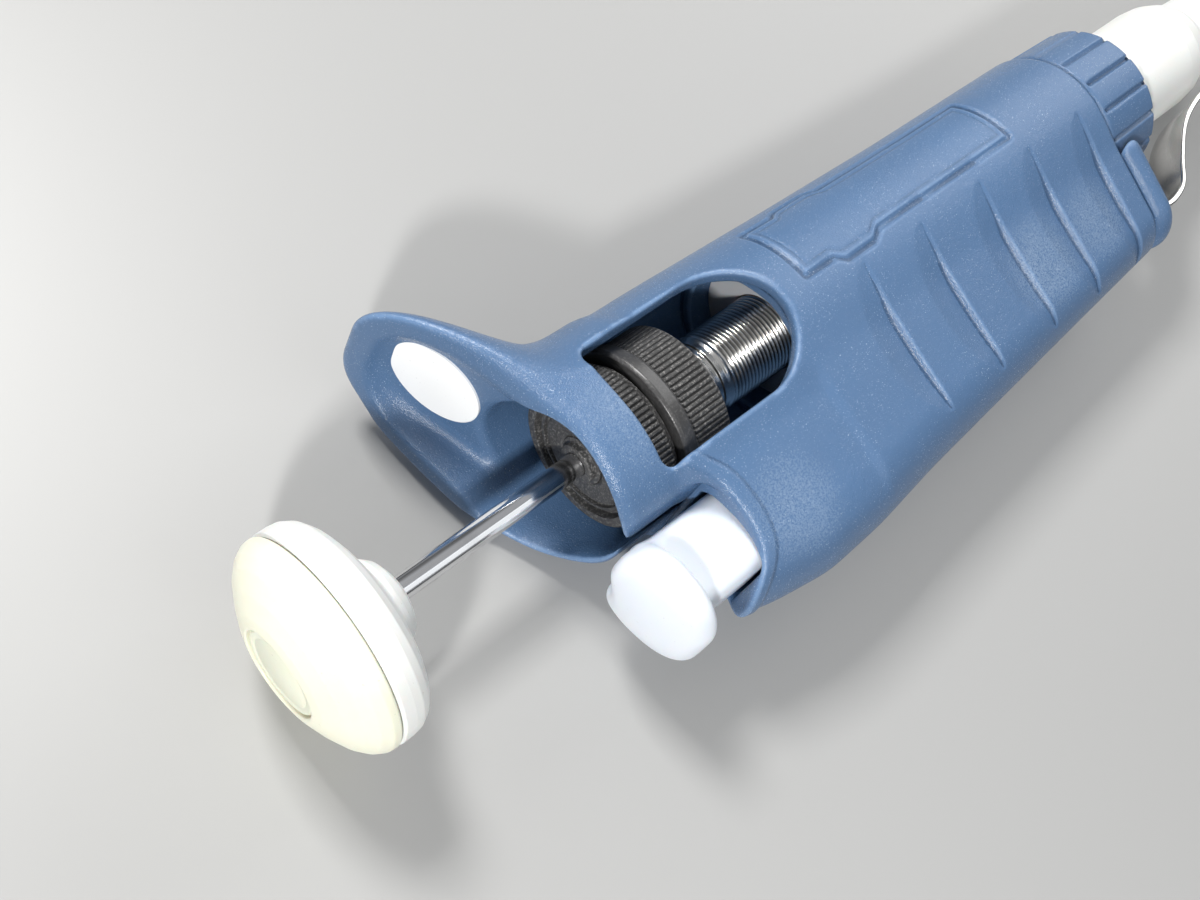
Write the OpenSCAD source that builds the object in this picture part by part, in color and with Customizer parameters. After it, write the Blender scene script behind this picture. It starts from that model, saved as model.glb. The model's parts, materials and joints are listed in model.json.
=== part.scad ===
// Adjustable single-channel air-displacement micropipette, 2 to 20 microlitre class.
// Upright frame: +Z runs along the barrel towards the push button, the origin is the end of
// the tip nose on the plunger axis, -X is the finger hook, +X is the ejector side,
// -Y is the front with the volume display and +Y is the back with the open window.

/* [Handle] */
// Height of the thumbwheel guide ring's lower face above the tip nose
ring_z = 184; // [170:1:200]
// Height of the handle's lower end face
handle_z = 104.4; // [95:0.1:115]
// Radius of the barrel at its lower end
barrel_low_r = 11.2; // [9:0.1:13]
// Radius of the barrel just under the cup
barrel_top_r = 13.3; // [11:0.1:15]
// Distance from the plunger axis to the ejector axis
ejector_x = 17.7; // [14:0.1:20]
// Radius of the ejector lobe at the lower end
lobe_low_r = 5.6; // [4:0.1:8]
// Radius of the ejector lobe near the top
lobe_top_r = 8.6; // [6:0.1:10]
// Reach of the finger hook from the plunger axis
hook_reach = 27.8; // [22:0.1:32]

/* [Push button] */
// Largest radius of the push button
button_r = 13.65; // [10:0.05:16]
// Height of the push button's widest edge above the guide ring
button_rise = 47; // [35:0.5:55]
// Radius of the operating rod
rod_r = 1.5; // [1:0.05:2]

/* [Volume setting] */
// Outer radius of the knurled thumbwheel
wheel_r = 9.7; // [8:0.1:12]
// Number of teeth in the thumbwheel knurl
knurl_teeth = 64; // [40:1:90]
// Major radius of the micrometer screw
screw_r = 5.25; // [4:0.05:6]
// Pitch of the micrometer screw
screw_pitch = 0.6; // [0.4:0.1:1]

/* [Plunger] */
// Radius of the piston
piston_r = 0.73; // [0.5:0.01:1.5]
// Full stroke of the plunger with the blow-out
plunger_stroke = 15; // [10:0.5:18]
// Share of the stroke that is blow-out
blowout_stroke = 3; // [1:0.5:5]

/* [Ejector] */
// Width of the steel ejector arm
arm_w = 8.6; // [6:0.1:12]
// Thickness of the steel ejector arm
arm_t = 0.8; // [0.5:0.1:1.5]

/* [Tip holder] */
// Radius of the nose land that the disposable tip grips
nose_r = 2.25; // [1.8:0.05:3]
// Length of the nose land
nose_len = 4; // [2:0.5:8]
// Outer radius of the connecting nut
nut_r = 11.35; // [10:0.05:13]
// Height of the connecting nut
nut_h = 11.2; // [8:0.1:14]

/* [Hidden] */
$fn = 72;
eps = 0.01;
run = 0.05;
wall_free = 0.1;
nut_z = handle_z - 0.2 - nut_h;
wheel_top = ring_z + 10;
wheel_low = ring_z - 5.85;
bore_r = 11.0;
throat_r = 10.3;
window_low = ring_z - 18;
window_top = ring_z + 7;
window_hw = 8.35;
frame_r = 9.5;
frame_low = 124;
frame_top = window_low - 3.4;
frame_screw_at = 5.9;
frame_screw_r = 0.8;
frame_screw_head_r = 1.2;
stem_r = 3.2;
stem_low = 137;
thread_low = 157;
sleeve_r = 4.8;
drum_r = 8.0;
drum_h = 5.6;
drum_z = 128.4;
drum_step = 6;
pinion_x = 10.2;
pinion_r = 2.1;
head_z = 114.3;
head_r = 5.5;
seat_top = 80;
collar_r = 7.9;
ring2_top = head_z - plunger_stroke + blowout_stroke - wall_free;
stalk_low = 178;
stalk_hw = 5.3;
pad_z = 194.6;
pocket_low = 168;
button_z = ring_z + button_rise;
hook_r = 9.5;
hook_tilt = 13;
shelf_x = -17.65;
shelf_z = 17.6;
shelf_tilt = 15;
label_r = 6.3;

// A slice of the barrel: the round main barrel joined to the ejector lobe.
module barrel_outline(r, lobe, x) {
    hull() {
        circle(r = r);
        translate([x, 0]) circle(r = lobe);
    }
}

// A coil spring that stands on z = 0; its horizontal section is the wire cut at a shallow angle.
module coil(mean_r, wire_r, height, turns) {
    rise = (height - 2 * wire_r) / turns;
    half = 360 * wire_r / rise;
    steps = 3;
    fan = [for (i = [-steps : steps]) half * i / steps];
    section = concat(
        [for (a = fan) (mean_r + wire_r * sqrt(max(0.02, 1 - pow(a / half, 2)))) * [cos(a), sin(a)]],
        [for (i = [2 * steps : -1 : 0])
            (mean_r - wire_r * sqrt(max(0.02, 1 - pow(fan[i] / half, 2)))) * [cos(fan[i]), sin(fan[i])]]);
    translate([0, 0, wire_r])
        linear_extrude(height = height - 2 * wire_r, twist = -360 * turns, slices = 14 * turns, $fn = 6)
            polygon(section);
}

// A knurled rim: a toothed disc.
module knurl(r, depth, teeth, h) {
    linear_extrude(height = h)
        polygon([for (i = [0 : 2 * teeth - 1])
            (r - depth * (i % 2)) * [cos(180 * i / teeth), sin(180 * i / teeth)]]);
}

// The space above the cup's rim: the rim is high at the hook and at the front, low at the back.
module rim_trim() {
    intersection() {
        translate([0, 12, ring_z + 13.8])
            rotate([-hook_tilt, 0, 0])
                translate([-60, -60, 0]) cube([120, 120, 40]);
        translate([-9.4, 12, ring_z + 14.9])
            rotate([-6.3, 19.8, 0])
                translate([-60, -60, 0]) cube([120, 120, 60]);
    }
}

module barrel_solid() {
    hull() {
        translate([0, 0, handle_z])
            linear_extrude(height = eps) barrel_outline(barrel_low_r, lobe_low_r, 16.7);
        translate([0, 0, ring_z - 8])
            linear_extrude(height = eps) barrel_outline(barrel_top_r, lobe_top_r, 19.5);
        translate([0, 0, ring_z + 3])
            linear_extrude(height = eps) barrel_outline(13.7, lobe_top_r - 0.5, 18.8);
    }
}

module cup_solid() {
    difference() {
        union() {
            translate([0, 0, ring_z]) cylinder(r = 13.1, h = 24);
            hull() {
                translate([0, 0, ring_z + 9]) cylinder(r = 13, h = 1);
                for (side = [-1, 1])
                    translate([hook_r - hook_reach, 2.6 * side, ring_z + 17]) cylinder(r = hook_r, h = 9);
                translate([-0.6, 0, ring_z + 9]) cylinder(r = 12.3, h = 14);
            }
        }
        rim_trim();
        translate([11.4, -30, ring_z + 3]) cube([30, 60, 40]);
        translate([-60, -30, ring_z + 24.2]) cube([120, 60, 40]);
    }
}

// The hollow of the finger hook: a shelf that slopes down to the thumbwheel throat.
module hook_hollow() {
    translate([shelf_x, 0, ring_z + shelf_z])
        rotate([0, shelf_tilt, 0])
            hull() {
                for (side = [-1, 1])
                    translate([-2, 3.6 * side, 0]) cylinder(r = 5.7, h = 20);
                translate([13, 0, 0]) cylinder(r = 9.2, h = 20);
            }
}

// Shallow finger grooves on one flank.
module grip_grooves(side) {
    for (i = [0 : 4])
        translate([12.2, side * (10.9 - 0.25 * i), ring_z - 31.5 - 10.6 * i])
            rotate([0, 0, side * -26])
                translate([-9.5, -0.8, 0])
                    rotate([0, 4, 0]) cube([19, 1.6, 0.8]);
}

// Engraved outline of the plain name panel between the window and the nut.
module panel_groove() {
    difference() {
        rotate([90, 0, 0])
            translate([0, 0, -16])
                linear_extrude(height = 12)
                    difference() {
                        translate([-8, ring_z - 62]) square([8.4, 33]);
                        translate([-7.3, ring_z - 61.3]) square([7, 31.6]);
                    }
        translate([0, 0, handle_z])
            cylinder(r1 = barrel_low_r - 0.5, r2 = barrel_top_r - 0.5, h = ring_z - 8 - handle_z);
    }
}

module handle_body() {
    color([0.20, 0.28, 0.42])
    difference() {
        union() {
            barrel_solid();
            cup_solid();
            translate([0, 0, nut_z + 3.8]) cylinder(r = 9.4, h = handle_z - nut_z);
        }
        translate([0, 0, window_low]) cylinder(r = bore_r, h = ring_z + 3 - window_low);
        translate([0, 0, ring_z]) cylinder(r = throat_r, h = 40);
        translate([0, 0, frame_low]) cylinder(r = frame_r + wall_free, h = window_low - frame_low + 1);
        translate([pinion_x, 0, frame_low]) cylinder(r = 3.1, h = 24);
        translate([0, 0, 100]) cylinder(r = 7.2, h = frame_low - 99);
        translate([0, 0, 90]) cylinder(r = 8.1, h = 19);
        hook_hollow();
        // gap between the throat and the ejector pocket
        translate([8.8, -7.6, ring_z + 3]) cube([5, 15.2, 30]);
        // back window with its round far end
        rotate([-90, 0, 0])
            translate([0, -window_low - window_hw, 4])
                linear_extrude(height = 20) {
                    circle(r = window_hw);
                    translate([-window_hw, window_low + window_hw - window_top])
                        square([2 * window_hw, window_top - window_low - window_hw]);
                }
        // front display slot
        translate([-3.3, -20, drum_z - 1]) cube([6.6, 12, 19.6]);
        translate([-4, -14.2, drum_z - 2.3]) cube([8, 3.25, 22.2]);
        // ejector pocket and rod channel
        translate([ejector_x, 0, pocket_low])
            linear_extrude(height = 60) square([11.6, 11.6], center = true);
        translate([ejector_x, 0, 112]) cylinder(r = 2.4, h = 60);
        translate([ejector_x, 0, 100]) cylinder(r = 1.6 + run, h = 20);
        // scooped rim round the ejector button
        intersection() {
            translate([ejector_x + 0.6, 0, ring_z + 22])
                rotate([90, 0, 0]) cylinder(r = 19.6, h = 40, center = true);
            translate([11.4, -30, ring_z]) cube([30, 60, 40]);
        }
        grip_grooves(1);
        grip_grooves(-1);
        panel_groove();
        // screw holes for the counter frame
        for (side = [-1, 1])
            translate([-frame_screw_at, frame_screw_at * side, 119.8])
                cylinder(r = frame_screw_r + 0.05, h = 5);
    }
}

// Blank disc stuck on the shelf of the hook.
module hook_label() {
    color([0.93, 0.94, 0.95])
        translate([shelf_x, 0, ring_z + shelf_z])
            rotate([0, shelf_tilt, 0])
                translate([0, 0, 0.02]) cylinder(r = label_r, h = 0.3);
}

module display_lens() {
    color([0.85, 0.9, 0.92, 0.4])
        translate([-3.95, -11.9, drum_z - 2.25]) cube([7.9, 0.9, 22.1]);
}

module counter_frame() {
    color([0.78, 0.79, 0.78])
    difference() {
        union() {
            translate([0, 0, frame_low + run]) cylinder(r = frame_r, h = frame_top - frame_low - 0.1);
            translate([pinion_x, 0, frame_low + run]) cylinder(r = 3, h = 23);
        }
        translate([0, 0, frame_low + 3.5]) cylinder(r = 8.7, h = 19.3);
        translate([0, 0, frame_low + 22]) cylinder(r = 7.9, h = frame_top - frame_low - 26);
        translate([0, 0, frame_low - 1]) cylinder(r = stem_r + 0.4, h = 10);
        translate([0, 0, frame_top - 10.2]) cylinder(r = 7.55, h = 8.7);
        translate([0, 0, frame_top - 2]) cylinder(r = screw_r + 0.15, h = 4);
        translate([pinion_x, 0, frame_low + 3.5]) cylinder(r = 2.5, h = 18);
        translate([pinion_x, 0, frame_low + 1.5]) cylinder(r = 0.82, h = 21);
        translate([-3.4, -12, drum_z - 1]) cube([6.8, 6, 19.6]);
        for (side = [-1, 1])
            translate([-frame_screw_at, frame_screw_at * side, frame_low - 1])
                cylinder(r = frame_screw_r + 0.05, h = 6);
        for (side = [-1, 1])
            translate([-frame_screw_at, frame_screw_at * side, frame_low + 2.2])
                cylinder(r = frame_screw_head_r + 0.1, h = 6);
    }
}

module counter_screws() {
    color([0.72, 0.73, 0.75])
    for (side = [-1, 1])
        translate([-frame_screw_at, frame_screw_at * side, 120])
            difference() {
                union() {
                    cylinder(r = frame_screw_r, h = 7);
                    translate([0, 0, 6.3]) cylinder(r = frame_screw_head_r, h = 1);
                }
                translate([-1.5, -0.15, 6.9]) cube([3, 0.3, 1]);
            }
}

// Brass nut that the micrometer screw runs in.
module screw_nut() {
    color([0.78, 0.66, 0.36])
        translate([0, 0, frame_top - 10])
            rotate_extrude()
                polygon([[screw_r + run, 0], [7.5, 0], [7.5, 8], [7, 8.4], [screw_r + run, 8.4]]);
}

module pinion_shaft() {
    color([0.75, 0.76, 0.78])
        translate([pinion_x, 0, frame_low + 1.6]) cylinder(r = 0.8, h = 20.8);
}

module carry_pinions() {
    color([0.92, 0.92, 0.9])
        for (i = [0 : 1])
            translate([pinion_x, 0, drum_z + drum_h - 1.6 + drum_step * i])
                difference() {
                    knurl(pinion_r, 0.55, 8, 3.6);
                    translate([0, 0, -1]) cylinder(r = 0.8 + run, h = 6);
                }
}

// A numbered drum with a row of shallow drive notches at its upper edge.
module drum(bore, shade, level) {
    color(shade)
        translate([0, 0, drum_z + drum_step * level])
            difference() {
                cylinder(r = drum_r, h = drum_h);
                translate([0, 0, -1]) cylinder(r = bore, h = drum_h + 2);
                for (a = [0 : 18 : 359])
                    rotate([0, 0, a]) translate([drum_r - 0.3, -0.3, drum_h - 0.8]) cube([1, 0.6, 2]);
            }
}

module tenths_drum() {
    drum(sleeve_r, [0.75, 0.12, 0.1], 0);
}

module units_drum() {
    drum(sleeve_r + run, [0.95, 0.95, 0.93], 1);
}

module tens_drum() {
    drum(sleeve_r + run, [0.95, 0.95, 0.93], 2);
}

// Sleeve that the screw's stem turns and slides through; it carries the tenths drum.
module drive_sleeve() {
    color([0.16, 0.16, 0.17])
        translate([0, 0, frame_low + 3.7])
            difference() {
                cylinder(r = sleeve_r, h = 17.6);
                translate([0, 0, -1])
                    intersection() {
                        cylinder(r = stem_r + run, h = 21);
                        translate([-5, -2.8 - run, 0]) cube([10, 2 * (2.8 + run), 21]);
                    }
            }
}

// The micrometer screw: rings stand in for the helical thread.
module micrometer_screw() {
    turns = floor((ring_z - 8.2 - thread_low) / screw_pitch);
    color([0.75, 0.75, 0.76])
    difference() {
        union() {
            translate([0, 0, stem_low])
                intersection() {
                    cylinder(r = stem_r, h = thread_low - stem_low + 1);
                    translate([-5, -2.8, 0]) cube([10, 5.6, 30]);
                }
            rotate_extrude()
                polygon(concat(
                    [[0, thread_low]],
                    [for (i = [0 : turns - 1], k = [0 : 1])
                        [screw_r - 0.33 * (1 - k), thread_low + screw_pitch * (i + k / 2)]],
                    [[screw_r - 0.7, ring_z - 8.2], [screw_r - 0.7, wheel_low - 0.5],
                     [5, wheel_low], [5, ring_z - 0.4], [0, ring_z - 0.4]]));
        }
        translate([0, 0, stem_low - 1]) cylinder(r = rod_r + 0.2, h = 60);
    }
}

module thumbwheel_lower() {
    color([0.06, 0.06, 0.065])
    difference() {
        union() {
            translate([0, 0, wheel_low]) knurl(wheel_r, 0.32, knurl_teeth, ring_z - 0.1 - wheel_low);
            translate([0, 0, ring_z - 1]) cylinder(r = 7.5, h = 3.4);
        }
        translate([0, 0, wheel_low - 1]) cylinder(r = 5, h = ring_z - wheel_low + 0.6);
        translate([0, 0, ring_z - 3]) cylinder(r = rod_r + 0.2, h = 10);
    }
}

module thumbwheel_upper() {
    color([0.06, 0.06, 0.065])
    difference() {
        translate([0, 0, ring_z + 2.5])
            union() {
                knurl(wheel_r, 0.32, knurl_teeth, 6.9);
                cylinder(r = 9.2, h = 7.5);
            }
        translate([0, 0, ring_z]) cylinder(r = 3.2, h = 20);
        translate([0, 0, wheel_top - 0.9])
            difference() {
                cylinder(r = 8.2, h = 2);
                translate([0, 0, -1]) cylinder(r = 7.3, h = 4);
            }
        translate([0, 0, wheel_top - 0.6])
            difference() {
                cylinder(r = 6.2, h = 2);
                translate([0, 0, -1]) cylinder(r = 4.1, h = 4);
            }
        for (a = [45 : 90 : 359])
            rotate([0, 0, a]) translate([5.2, 0, wheel_top - 2]) cylinder(r = 0.7, h = 3);
    }
}

// Bush in the top of the thumbwheel that guides the operating rod.
module thumbwheel_bush() {
    color([0.12, 0.12, 0.13])
    difference() {
        translate([0, 0, ring_z + 2.5])
            union() {
                cylinder(r = 3.2, h = 7.2);
                cylinder(r = 2.6, h = 8);
            }
        cylinder(r = rod_r + run, h = 220);
    }
}

// Smooth ring between the two knurled halves; it slides in the handle and doesn't turn.
module guide_ring() {
    color([0.07, 0.07, 0.075])
        translate([0, 0, ring_z])
            rotate_extrude()
                polygon([[7.5 + run, 0], [10.2, 0], [10.4, 0.3],
                    [10.75, 2.1], [10.5, 2.4], [7.5 + run, 2.4]]);
}

module operating_rod() {
    color([0.85, 0.86, 0.88])
        translate([0, 0, 116.5]) cylinder(r = rod_r, h = button_z - 4 - 116.5);
}

module rod_stop_collar() {
    color([0.7, 0.71, 0.73])
        translate([0, 0, 120.5])
            difference() {
                cylinder(r = 4.2, h = 3);
                translate([0, 0, -1]) cylinder(r = rod_r, h = 5);
            }
}

// White hub: the stalk and the underside of the mushroom.
module push_button_hub() {
    color([0.93, 0.93, 0.92])
        translate([0, 0, button_z])
            rotate_extrude()
                polygon([[rod_r, -9.9], [2.2, -9.9], [3.2, -9.6], [4.4, -9], [5.3, -8], [5.6, -7.2],
                    [6.4, -6.7], [8, -6.2], [10, -5.6], [11.4, -5], [12.7, -4.2], [13.4, -3.1],
                    [button_r, -1.7],
                    [button_r, -0.2], [13.3, -0.05], [0, -0.05], [0, -4], [rod_r, -4]]);
}

// Cream cap clipped on the hub, dished for the thumb.
module push_button_cap() {
    color([0.93, 0.93, 0.82])
        translate([0, 0, button_z])
            rotate_extrude()
                polygon([[0, 0], [13.3, 0], [button_r, 0.2], [13.55, 1.1], [12.9, 2.3], [11.6, 3.5],
                    [9.4, 4.8], [7.1, 5.8], [5.8, 6.1], [5.6, 4.9], [0, 4.9]]);
}

module push_button_label() {
    color([0.94, 0.94, 0.84])
        translate([0, 0, button_z + 4.92]) cylinder(r = 5.4, h = 0.35);
}

// Disc that the rod pushes on; the piston is held in its centre.
module piston_head() {
    color([0.2, 0.35, 0.6])
        translate([0, 0, head_z])
            difference() {
                union() {
                    cylinder(r = head_r, h = 6);
                    translate([0, 0, -4]) cylinder(r = 2.3, h = 5);
                }
                translate([0, 0, 2]) cylinder(r = rod_r + run, h = 6);
                translate([0, 0, -5]) cylinder(r = piston_r, h = 6);
            }
}

module piston() {
    color([0.85, 0.86, 0.88])
        translate([0, 0, 24]) cylinder(r = piston_r, h = head_z + 1 - 24);
}

module piston_spring() {
    color([0.62, 0.63, 0.65])
        translate([0, 0, seat_top + 0.05]) coil(3.15, 0.35, head_z - seat_top - 0.1, 9);
}

module blowout_ring() {
    color([0.92, 0.92, 0.9])
        translate([0, 0, ring2_top - 2.5])
            difference() {
                cylinder(r = 5.95, h = 2.5);
                translate([0, 0, -1]) cylinder(r = 3.9, h = 5);
            }
}

module blowout_spring() {
    color([0.62, 0.63, 0.65])
        translate([0, 0, seat_top + 0.05]) coil(4.95, 0.45, ring2_top - 2.5 - seat_top - 0.1, 4);
}

module spring_seat() {
    color([0.7, 0.71, 0.73])
        translate([0, 0, 76.3])
            difference() {
                cylinder(r = 6, h = seat_top - 76.3);
                translate([0, 0, -1]) cylinder(r = piston_r + 0.3, h = 6);
            }
}

module piston_seal() {
    color([0.95, 0.95, 0.95])
        translate([0, 0, 73.3])
            difference() {
                cylinder(r = 4.15, h = 2.9);
                translate([0, 0, -1]) cylinder(r = piston_r + 0.03, h = 6);
            }
}

module piston_o_ring() {
    color([0.1, 0.1, 0.1])
        translate([0, 0, 72.2])
            rotate_extrude() translate([1.74, 0]) circle(r = 0.97, $fn = 32);
}

module tip_holder() {
    color([0.9, 0.91, 0.9])
    difference() {
        rotate_extrude()
            polygon([[0, 0], [nose_r, 0], [nose_r, nose_len], [2.6, 14], [3, 16],
                [3, 34], [3.5, 37], [5.6, 70], [5.8, 72.4], [6.8, 74], [7.6, 76.4], [collar_r, 79],
                [collar_r, nut_z + 1.6], [9.2, nut_z + 1.6], [9.2, nut_z + 3.6], [8, nut_z + 3.6],
                [8, 108], [0, 108]]);
        translate([0, 0, 76.1]) cylinder(r = 6.1, h = 40);
        translate([0, 0, 73.2]) cylinder(r = 4.2, h = 4);
        translate([0, 0, 71.2]) cylinder(r = 2.75, h = 4);
        translate([0, 0, 6]) cylinder(r = 0.95, h = 70);
        translate([0, 0, -1]) cylinder(r = 0.6, h = 10);
    }
}

module connecting_nut() {
    color([0.20, 0.28, 0.42])
    difference() {
        translate([0, 0, nut_z])
            rotate_extrude()
                polygon([[8.1, 0], [10.4, 0], [11, 0.6], [nut_r, nut_h - 0.4], [nut_r - 0.4, nut_h],
                    [9.55, nut_h], [9.55, 1.5], [8.1, 1.5]]);
        for (a = [0 : 22.5 : 359])
            rotate([0, 0, a])
                translate([nut_r, 0, nut_z - 1]) cylinder(r = 0.55, h = nut_h - 1.2, $fn = 16);
    }
}

module ejector_button() {
    color([0.92, 0.94, 0.97])
    union() {
        translate([ejector_x, 0, stalk_low])
            linear_extrude(height = pad_z - stalk_low + 3)
                hull() {
                    for (x = [-1, 1], y = [-1, 1])
                        translate([x * (stalk_hw - 2), y * (stalk_hw - 2)]) circle(r = 2);
                }
        hull() {
            for (y = [-1, 1]) {
                translate([18.95, 2.6 * y, pad_z + 1.6]) cylinder(r = 7.2, h = 2.4, $fn = 48);
                translate([18.95, 2.6 * y, pad_z]) cylinder(r = 6, h = 1, $fn = 48);
                translate([18.95, 2.2 * y, pad_z + 5]) cylinder(r = 5, h = 1.8, $fn = 48);
            }
        }
    }
}

module ejector_rod() {
    color([0.75, 0.76, 0.78])
        translate([ejector_x, 0, 102.6]) cylinder(r = 1.6, h = stalk_low - 102.6 - run);
}

module ejector_spring() {
    color([0.62, 0.63, 0.65])
        translate([ejector_x, 0, pocket_low + 0.05])
            coil(3.4, 0.35, stalk_low - pocket_low - 0.1, 4);
}

// Foot under the lobe that carries the arm.
module ejector_foot() {
    color([0.20, 0.28, 0.42])
    difference() {
        translate([0, 0, handle_z - 6])
            linear_extrude(height = 5)
                difference() {
                    barrel_outline(barrel_low_r, lobe_low_r, 16.9);
                    circle(r = nut_r + 0.5);
                    translate([-20, -20]) square([26, 40]);
                }
        translate([ejector_x, 0, 102.6]) cylinder(r = 1.6, h = 4);
        translate([ejector_x + 0.9, -arm_w / 2 - 0.05, handle_z - 7]) cube([arm_t + 0.1, arm_w + 0.1, 3.4]);
    }
}

// Flat steel arm that curves in under the nut and follows the tip holder down.
module ejector_arm() {
    color([0.82, 0.83, 0.85])
    difference() {
        translate([0, arm_w / 2, 0])
            rotate([90, 0, 0])
                linear_extrude(height = arm_w)
                    polygon([[18.65, 100.7], [18.65, 98], [17.6, 95.2], [14.4, 91.6], [11, 86.6], [9.4, 82],
                        [8.7, 76], [4.9, 30], [4.9, 22.2], [4.9 + arm_t, 22.2], [4.9 + arm_t, 30],
                        [8.7 + arm_t, 76], [9.4 + arm_t, 81.8], [11.9, 86.3], [15.1, 91],
                        [18.5, 94.7], [18.65 + arm_t, 97.8], [18.65 + arm_t, 100.7]]);
        translate([0, 0, 25.2]) rotate([0, 90, 0]) cylinder(r = 0.85, h = 12);
    }
}

// Plastic collar round the tip cone that pushes the tip off.
module ejector_collar() {
    color([0.92, 0.93, 0.93])
        translate([0, 0, 22.2])
            difference() {
                cylinder(r = 4.85, h = 6);
                translate([0, 0, -1]) cylinder(r = 3.4, h = 8);
                translate([0, 0, 3]) rotate([0, 90, 0]) cylinder(r = 0.8, h = 12);
            }
}

module arm_rivet() {
    color([0.75, 0.76, 0.78])
        translate([0, 0, 25.2])
            rotate([0, 90, 0])
                union() {
                    translate([0, 0, 3.6]) cylinder(r = 0.8, h = 2.2);
                    translate([0, 0, 5.72]) cylinder(r = 1.3, h = 0.5);
                }
}

handle_body();
hook_label();
display_lens();
counter_frame();
screw_nut();
pinion_shaft();
counter_screws();
push_button_cap();
push_button_hub();
push_button_label();
operating_rod();
rod_stop_collar();
thumbwheel_upper();
thumbwheel_lower();
thumbwheel_bush();
guide_ring();
micrometer_screw();
drive_sleeve();
tenths_drum();
units_drum();
tens_drum();
carry_pinions();
piston_head();
piston();
piston_spring();
blowout_ring();
blowout_spring();
spring_seat();
piston_seal();
piston_o_ring();
tip_holder();
connecting_nut();
ejector_button();
ejector_rod();
ejector_spring();
ejector_foot();
ejector_arm();
ejector_collar();
arm_rivet();
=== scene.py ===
import json
import math

import bpy
import numpy as np
from mathutils import Matrix, Vector


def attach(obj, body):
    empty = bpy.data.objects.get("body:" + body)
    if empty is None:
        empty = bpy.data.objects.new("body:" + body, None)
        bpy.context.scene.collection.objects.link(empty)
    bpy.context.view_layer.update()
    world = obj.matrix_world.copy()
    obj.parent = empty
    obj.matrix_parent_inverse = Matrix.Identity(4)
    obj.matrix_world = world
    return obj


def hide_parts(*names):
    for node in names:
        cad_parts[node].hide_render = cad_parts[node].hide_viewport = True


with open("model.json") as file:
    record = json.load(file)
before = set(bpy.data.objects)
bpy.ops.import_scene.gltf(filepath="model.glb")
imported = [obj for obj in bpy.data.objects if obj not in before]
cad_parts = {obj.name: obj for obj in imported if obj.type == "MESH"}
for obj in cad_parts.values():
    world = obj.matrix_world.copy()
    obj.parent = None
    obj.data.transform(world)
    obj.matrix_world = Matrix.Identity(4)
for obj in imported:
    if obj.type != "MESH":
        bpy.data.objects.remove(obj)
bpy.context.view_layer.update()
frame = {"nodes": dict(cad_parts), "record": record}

# All shapes below are worked out in millimetres in the row frame: +Z runs up the plunger axis from
# the tip nose, -X is the finger hook, +X the ejector, +Y the back with the open window.
MM = 0.001
RING = 184.0  # lower face of the guide ring; many heights are measured from it, and then called w
BUTTON = RING + 47.0  # seam between the push button's cap and its hub
NUT_LOW = 93.0
NUT_FLUTES = 16
EJECTOR_X = 17.7  # middle of the ejector's square stalk and of its rod
ARM_WIDTH = 8.6
ARM_THICK = 0.8
SCREW_PITCH = 0.6
SCREW_LOW = 157.0  # lower end of the screw's thread
STEM_LOW = 137.0  # lower end of the stem below it
KNURL_TEETH = 84
KNURL_DEPTH = 0.30
FLOOR_Y = -13.9  # just clear of the handle's front side
NORMAL_WEIGHT = 60  # how strongly large faces set the direction of shared normals


# ---------------------------------------------------------------- mesh building

def mesh_object(name, verts, faces, material, body, stands_for, weighted=False):
    """A mesh from millimetre vertices, riding on a CAD body and standing for CAD nodes."""
    data = bpy.data.meshes.new(name)
    verts = np.asarray(verts, np.float32) * MM
    faces = np.asarray(faces, np.int32)
    width = faces.shape[1]
    data.vertices.add(len(verts))
    data.vertices.foreach_set("co", verts.ravel())
    data.loops.add(faces.size)
    data.loops.foreach_set("vertex_index", faces.ravel())
    data.polygons.add(len(faces))
    data.polygons.foreach_set("loop_start", np.arange(0, faces.size, width, dtype=np.int32))
    data.update(calc_edges=True)
    data.validate()
    data.polygons.foreach_set("use_smooth", [True] * len(data.polygons))
    data.materials.append(material)
    obj = bpy.data.objects.new(name, data)
    bpy.context.scene.collection.objects.link(obj)
    if weighted:
        obj.modifiers.new("weighted", "WEIGHTED_NORMAL").weight = NORMAL_WEIGHT
    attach(obj, body)
    if stands_for:
        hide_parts(*stands_for)
    return obj


def rounded(points, steps=4):
    """A polyline whose corners are rounded: each point is (a, b) or (a, b, radius)."""
    out = []
    for i, p in enumerate(points):
        radius = p[2] if len(p) > 2 else 0.0
        here = np.array(p[:2], float)
        if radius <= 0 or i in (0, len(points) - 1):
            out.append(tuple(here))
            continue
        before = np.array(points[i - 1][:2], float) - here
        after = np.array(points[i + 1][:2], float) - here
        lb, la = np.linalg.norm(before), np.linalg.norm(after)
        before, after = before / lb, after / la
        half = 0.5 * math.acos(max(-1.0, min(1.0, float(before @ after))))
        reach = min(radius / math.tan(half), 0.49 * lb, 0.49 * la)
        a, b = here + before * reach, here + after * reach
        for s in range(steps + 1):
            t = s / steps
            out.append(tuple((1 - t) ** 2 * a + 2 * t * (1 - t) * here + t * t * b))
    return out


def store(made, name, values):
    """Keep one number per vertex in the mesh, for its material to read."""
    layer = made.data.attributes.new(name, "FLOAT", "POINT")
    layer.data.foreach_set("value", values.ravel().astype(np.float32))


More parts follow.
